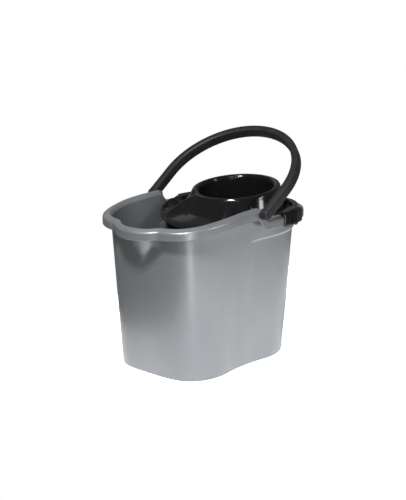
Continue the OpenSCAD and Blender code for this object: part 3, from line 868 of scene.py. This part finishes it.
class MOPBUCKET_OT_basket(bpy.types.Operator):
    """Builds the perforated cone that the mop is pressed into"""
    bl_idname = "mopbucket.basket"
    bl_label = "Wringer Basket"

    def execute(self, context):
        b, w = millimetres(context.scene.bucket_sizes), millimetres(context.scene.wringer_sizes)
        top = -RING_DEPTH - GAP
        section = cone_profile(w, top, -w.basket_depth)
        cone = tidy(mesh_from("cone", *turned(section, 144), scale=1.0), 30)
        piece = link("wringer_basket_cone", cone)
        inputs = {"Slots": w.slots, "Slot Width": w.slot_width, "Slot Length": w.slot_length,
                  "Slot Bridge": w.slot_bridge, "Slot Rise": w.slot_rise, "Floor Holes": w.floor_holes,
                  "Hole Radius": w.hole_radius, "Ribs": w.ribs, "Floor Radius": w.basket_floor,
                  "Depth": w.basket_depth, "Finish": finish_for("black_plastic")}
        tree = drain_tree(inputs, w.cup_radius - GAP - w.basket_wall, top - COLLAR)
        mesh = run_tree(piece, tree, inputs)
        if len(mesh.polygons) <= len(cone.polygons) + w.ribs * (RIB_SIDES + 2):
            raise RuntimeError("the drain slots weren't cut")
        cup = Matrix.Translation((w.cup_x, 0, b.rear_height + w.cup_rise)) @ Matrix.Rotation(-w.tilt, 4, "Y")
        mesh.transform(Matrix.Scale(MM, 4) @ cup)
        tidy(mesh, 35)
        place(piece, "wringer_basket", "wringer", finish_for("black_plastic"))
        return {"FINISHED"}


def clip_phi(b, x):
    """Direction in which the rim band's outer face lies at x, on the left side of the wringer end."""
    low, high = math.radians(10), math.radians(90)
    for _ in range(24):
        middle = (low + high) / 2
        if rim_at(b, middle, b.rim_width, 0)[0] > x:
            low = middle
        else:
            high = middle
    return (low + high) / 2


class MOPBUCKET_OT_clips(bpy.types.Operator):
    """Builds the two clips that wrap over the rim"""
    bl_idname = "mopbucket.clips"
    bl_label = "Rim Clips"

    def execute(self, context):
        b, w = millimetres(context.scene.bucket_sizes), millimetres(context.scene.wringer_sizes)
        rim, stands = b.rim_width, w.clip_thickness
        # Stations along the clip, as (place, how far the face stands out, extra length of the leg).
        start, end = w.clip_front, w.clip_rear
        stations = [(start, 0.4, -3.2), (start + 0.7, 0.85, -2.8), (start + 3, 0.9, -2.6),
                    (start + 20, 0.9, -2.6), (start + 20.8, 0.45, -2.8), (start + 24.4, 0.42, -2.8),
                    (start + 25, 0.95, -2.6), (start + 25.8, 1.0, -2.4), (start + 29, 1.0, -2.4),
                    (start + 29.8, 0.95, -2.4), (start + 30.4, 0.42, -2.8), (start + 33.2, 0.45, -2.6),
                    (start + 34, 0.8, -1.4), (start + 35, 0.9, -0.4), (start + 37, 0.95, 0),
                    (start + 40, 0.95, 0), (start + 42, 0.9, -0.4), (start + 43, 0.85, -1.4),
                    (start + 44, 0.8, -2.6), (end - 10, 0.8, -2.6), (end - 3, 0.8, -2.6),
                    (end - 0.7, 0.75, -2.8), (end, 0.3, -3.2)]
        rows = []
        for x, out, extra in stations:
            phi, face, bottom = clip_phi(b, x), rim + stands * out, w.clip_height + extra
            over = soften([(w.seat + 0.2, w.thickness + GAP), (rim - 4.4, 3.4),
                           (rim - 1, 1.6 * out + 0.6), (face - 0.8, -1.5), (face, -5)], 2)
            leg = soften([(face, -5), (face, 1.5 - bottom), (face - 0.4, -bottom),
                          (rim + GAP + 0.1, -bottom), (rim + GAP, -9.1)], 1)
            below = [(rim - 0.5, -4.7), (rim - 1.9, -1.6), (rim - 4.2, 0.3), (rim - 5.6, 0.4),
                     (w.seat + 0.2, 0.6)]
            rows.append([rim_at(b, phi, d, -up) for d, up in over + leg[1:] + below])
        points, faces = loft(rows, caps=("start", "end"))
        for side, name in ((1, "left"), (-1, "right")):
            mesh = tidy(mesh_from("clip", [(x, side * y, z) for x, y, z in points], faces), 35)
            place(link("clip_" + name, mesh), "rim_clip_" + name, "wringer",
                  finish_for("black_plastic"))
        return {"FINISHED"}


# ---- Stage ----

# Each softbox: name, place to the camera's right, towards the camera and up, size across and up,
# and power in watts.
SOFTBOXES = (
    ("key", (0.4, 2.1, 0.1), (0.45, 1.5), 13),
    ("fill", (1.8, 0.9, 0.9), (0.35, 0.5), 12),
    ("front", (-0.5, 1.2, 2.0), (0.3, 0.3), 86),
    ("low", (-0.1, 2.2, 0.75), (0.25, 0.5), 5),
    ("back", (-0.7, -2.0, 1.3), (1.2, 0.8), 1),
)
LIT_POINT = Vector((0, 0, 0.16))  # the softboxes face this point, in metres
FLOOR_RADIUS, FLOOR_MIDDLE, FLOOR_STEPS = 0.65, (0.22, -0.25, 0), 96
FLOOR_PAINTED_GLOW = 0.55  # strength of the floor's painted glow at its middle, which lights the bucket from below
SENSOR = 36  # the camera's square sensor, in millimetres
SHIFT = (0.006, 0.07)  # the lens's shift to the right and up, as a share of the picture
WHITE = (1, 1, 1, 1)


class MOPBUCKET_OT_stage(bpy.types.Operator):
    """Sets the floor, the lights and the camera"""
    bl_idname = "mopbucket.stage"
    bl_label = "Stage"

    def execute(self, context):
        scene, s = context.scene, context.scene.bucket_stage
        self.floor(context.scene.bucket_finishes)
        self.surroundings(scene, s.ambient)
        turn = Matrix.Rotation(s.azimuth, 4, "Z")
        for name, spot, size, power in SOFTBOXES:
            data = bpy.data.lights.new(name, "AREA")
            data.shape, data.size, data.size_y, data.energy = "RECTANGLE", size[0], size[1], power
            lamp = bpy.data.objects.new(name, data)
            scene.collection.objects.link(lamp)
            place_in = Vector((spot[0], -spot[1], spot[2]))
            aim = (LIT_POINT - place_in).to_track_quat("-Z", "Y").to_matrix().to_4x4()
            lamp.matrix_world = turn @ Matrix.Translation(place_in) @ aim
        data = bpy.data.cameras.new("camera")
        camera = bpy.data.objects.new("camera", data)
        scene.collection.objects.link(camera)
        scene.camera = camera
        away = Vector((math.sin(s.azimuth) * math.cos(s.elevation),
                       -math.cos(s.azimuth) * math.cos(s.elevation), math.sin(s.elevation)))
        camera.location = Vector(s.target) + away * s.distance
        camera.rotation_euler = (-away).to_track_quat("-Z", "Y").to_euler()
        data.sensor_fit, data.sensor_width, data.sensor_height = "VERTICAL", SENSOR, SENSOR
        data.lens, data.shift_x, data.shift_y = s.focal_length, *SHIFT
        data.clip_start, data.clip_end = 0.1, 20
        scene.view_settings.view_transform = "Standard"
        return {"FINISHED"}

    def floor(self, finishes):
        """A round paper floor that glows most round the bucket, a painted pool of light that lights it from
        below. The camera sees it all white.
        """
        turns = [2 * math.pi * k / FLOOR_STEPS for k in range(FLOOR_STEPS)]
        corners = [(FLOOR_RADIUS * math.cos(a), FLOOR_RADIUS * math.sin(a), 0) for a in turns]
        ground = link("ground", mesh_from("ground", corners, [tuple(range(FLOOR_STEPS))], scale=1.0))
        ground.location = FLOOR_MIDDLE
        material, tree, shader = plastic("pale_paper_painted_glow", roughness=0.9, base_color=linear(finishes.paper),
                                         specular_ior_level=0.0)
        place_of = add(tree, "ShaderNodeTexCoord").outputs["Object"]
        tooth = add(tree, "ShaderNodeTexNoise", {"Vector": place_of, "Scale": 300.0})
        bump = add(tree, "ShaderNodeBump", {"Height": tooth.outputs[0], "Strength": 0.02})
        tree.links.new(bump.outputs[0], shader.inputs["Normal"])
        # Painted light: the floor's emission is brightest at its middle and fades to its edge; camera rays
        # see it plain white.
        spread = add(tree, "ShaderNodeMapping", {"Vector": place_of, "Scale": (1 / FLOOR_RADIUS,) * 3})
        pool = add(tree, "ShaderNodeTexGradient", {"Vector": spread.outputs[0]}, gradient_type="SPHERICAL")
        seen = add(tree, "ShaderNodeLightPath").outputs["Is Camera Ray"]
        glow = add(tree, "ShaderNodeMath", {0: pool.outputs[1], 1: FLOOR_PAINTED_GLOW}, operation="MULTIPLY")
        shown = add(tree, "ShaderNodeMath", {0: seen, 1: glow.outputs[0]}, operation="MAXIMUM")
        tree.links.new(shown.outputs[0], shader.inputs["Emission Strength"])
        shader.inputs["Emission Color"].default_value = linear(finishes.paper)
        ground.data.materials.append(material)

    def surroundings(self, scene, ambient):
        """White behind the bucket, and a dimmer even light on it."""
        world = bpy.data.worlds.new("studio")
        world.use_nodes = True
        scene.world = world
        tree = world.node_tree
        tree.nodes.clear()
        seen = add(tree, "ShaderNodeLightPath").outputs["Is Camera Ray"]
        even = add(tree, "ShaderNodeBackground", {"Color": WHITE, "Strength": ambient})
        white = add(tree, "ShaderNodeBackground", {"Color": WHITE, "Strength": 1.0})
        both = add(tree, "ShaderNodeMixShader", {0: seen, 1: even.outputs[0], 2: white.outputs[0]})
        add(tree, "ShaderNodeOutputWorld", {"Surface": both.outputs[0]})


class MOPBUCKET_PT_panel(bpy.types.Panel):
    """Lists the pieces of the mop bucket"""
    bl_idname = "MOPBUCKET_PT_panel"
    bl_label = "Mop Bucket"
    bl_space_type = "VIEW_3D"
    bl_region_type = "UI"
    bl_category = "Mop Bucket"

    def draw(self, context):
        for operator in STEPS:
            self.layout.operator(operator.bl_idname)
        for group in GROUPS:
            settings = getattr(context.scene, group)
            box = self.layout.box()
            box.label(text=group.replace("_", " ").title())
            for prop in settings.bl_rna.properties:
                if prop.identifier not in {"rna_type", "name"}:
                    box.prop(settings, prop.identifier)


GROUPS = {"bucket_sizes": BucketSizes, "handle_sizes": HandleSizes, "wringer_sizes": WringerSizes,
          "bucket_finishes": Finishes, "bucket_stage": StageSettings}
STEPS = (MOPBUCKET_OT_bucket, MOPBUCKET_OT_handle, MOPBUCKET_OT_hood, MOPBUCKET_OT_basket, MOPBUCKET_OT_clips,
         MOPBUCKET_OT_stage)
CLASSES = (*GROUPS.values(), *STEPS, MOPBUCKET_PT_panel)


def register():
    for cls in CLASSES:
        bpy.utils.register_class(cls)
    for name, cls in GROUPS.items():
        setattr(bpy.types.Scene, name, PointerProperty(type=cls))


def unregister():
    for name in GROUPS:
        delattr(bpy.types.Scene, name)
    for cls in reversed(CLASSES):
        bpy.utils.unregister_class(cls)


def main():
    register()
    for operator in STEPS:
        family, name = operator.bl_idname.split(".")
        getattr(getattr(bpy.ops, family), name)()


if __name__ == "__main__":
    main()
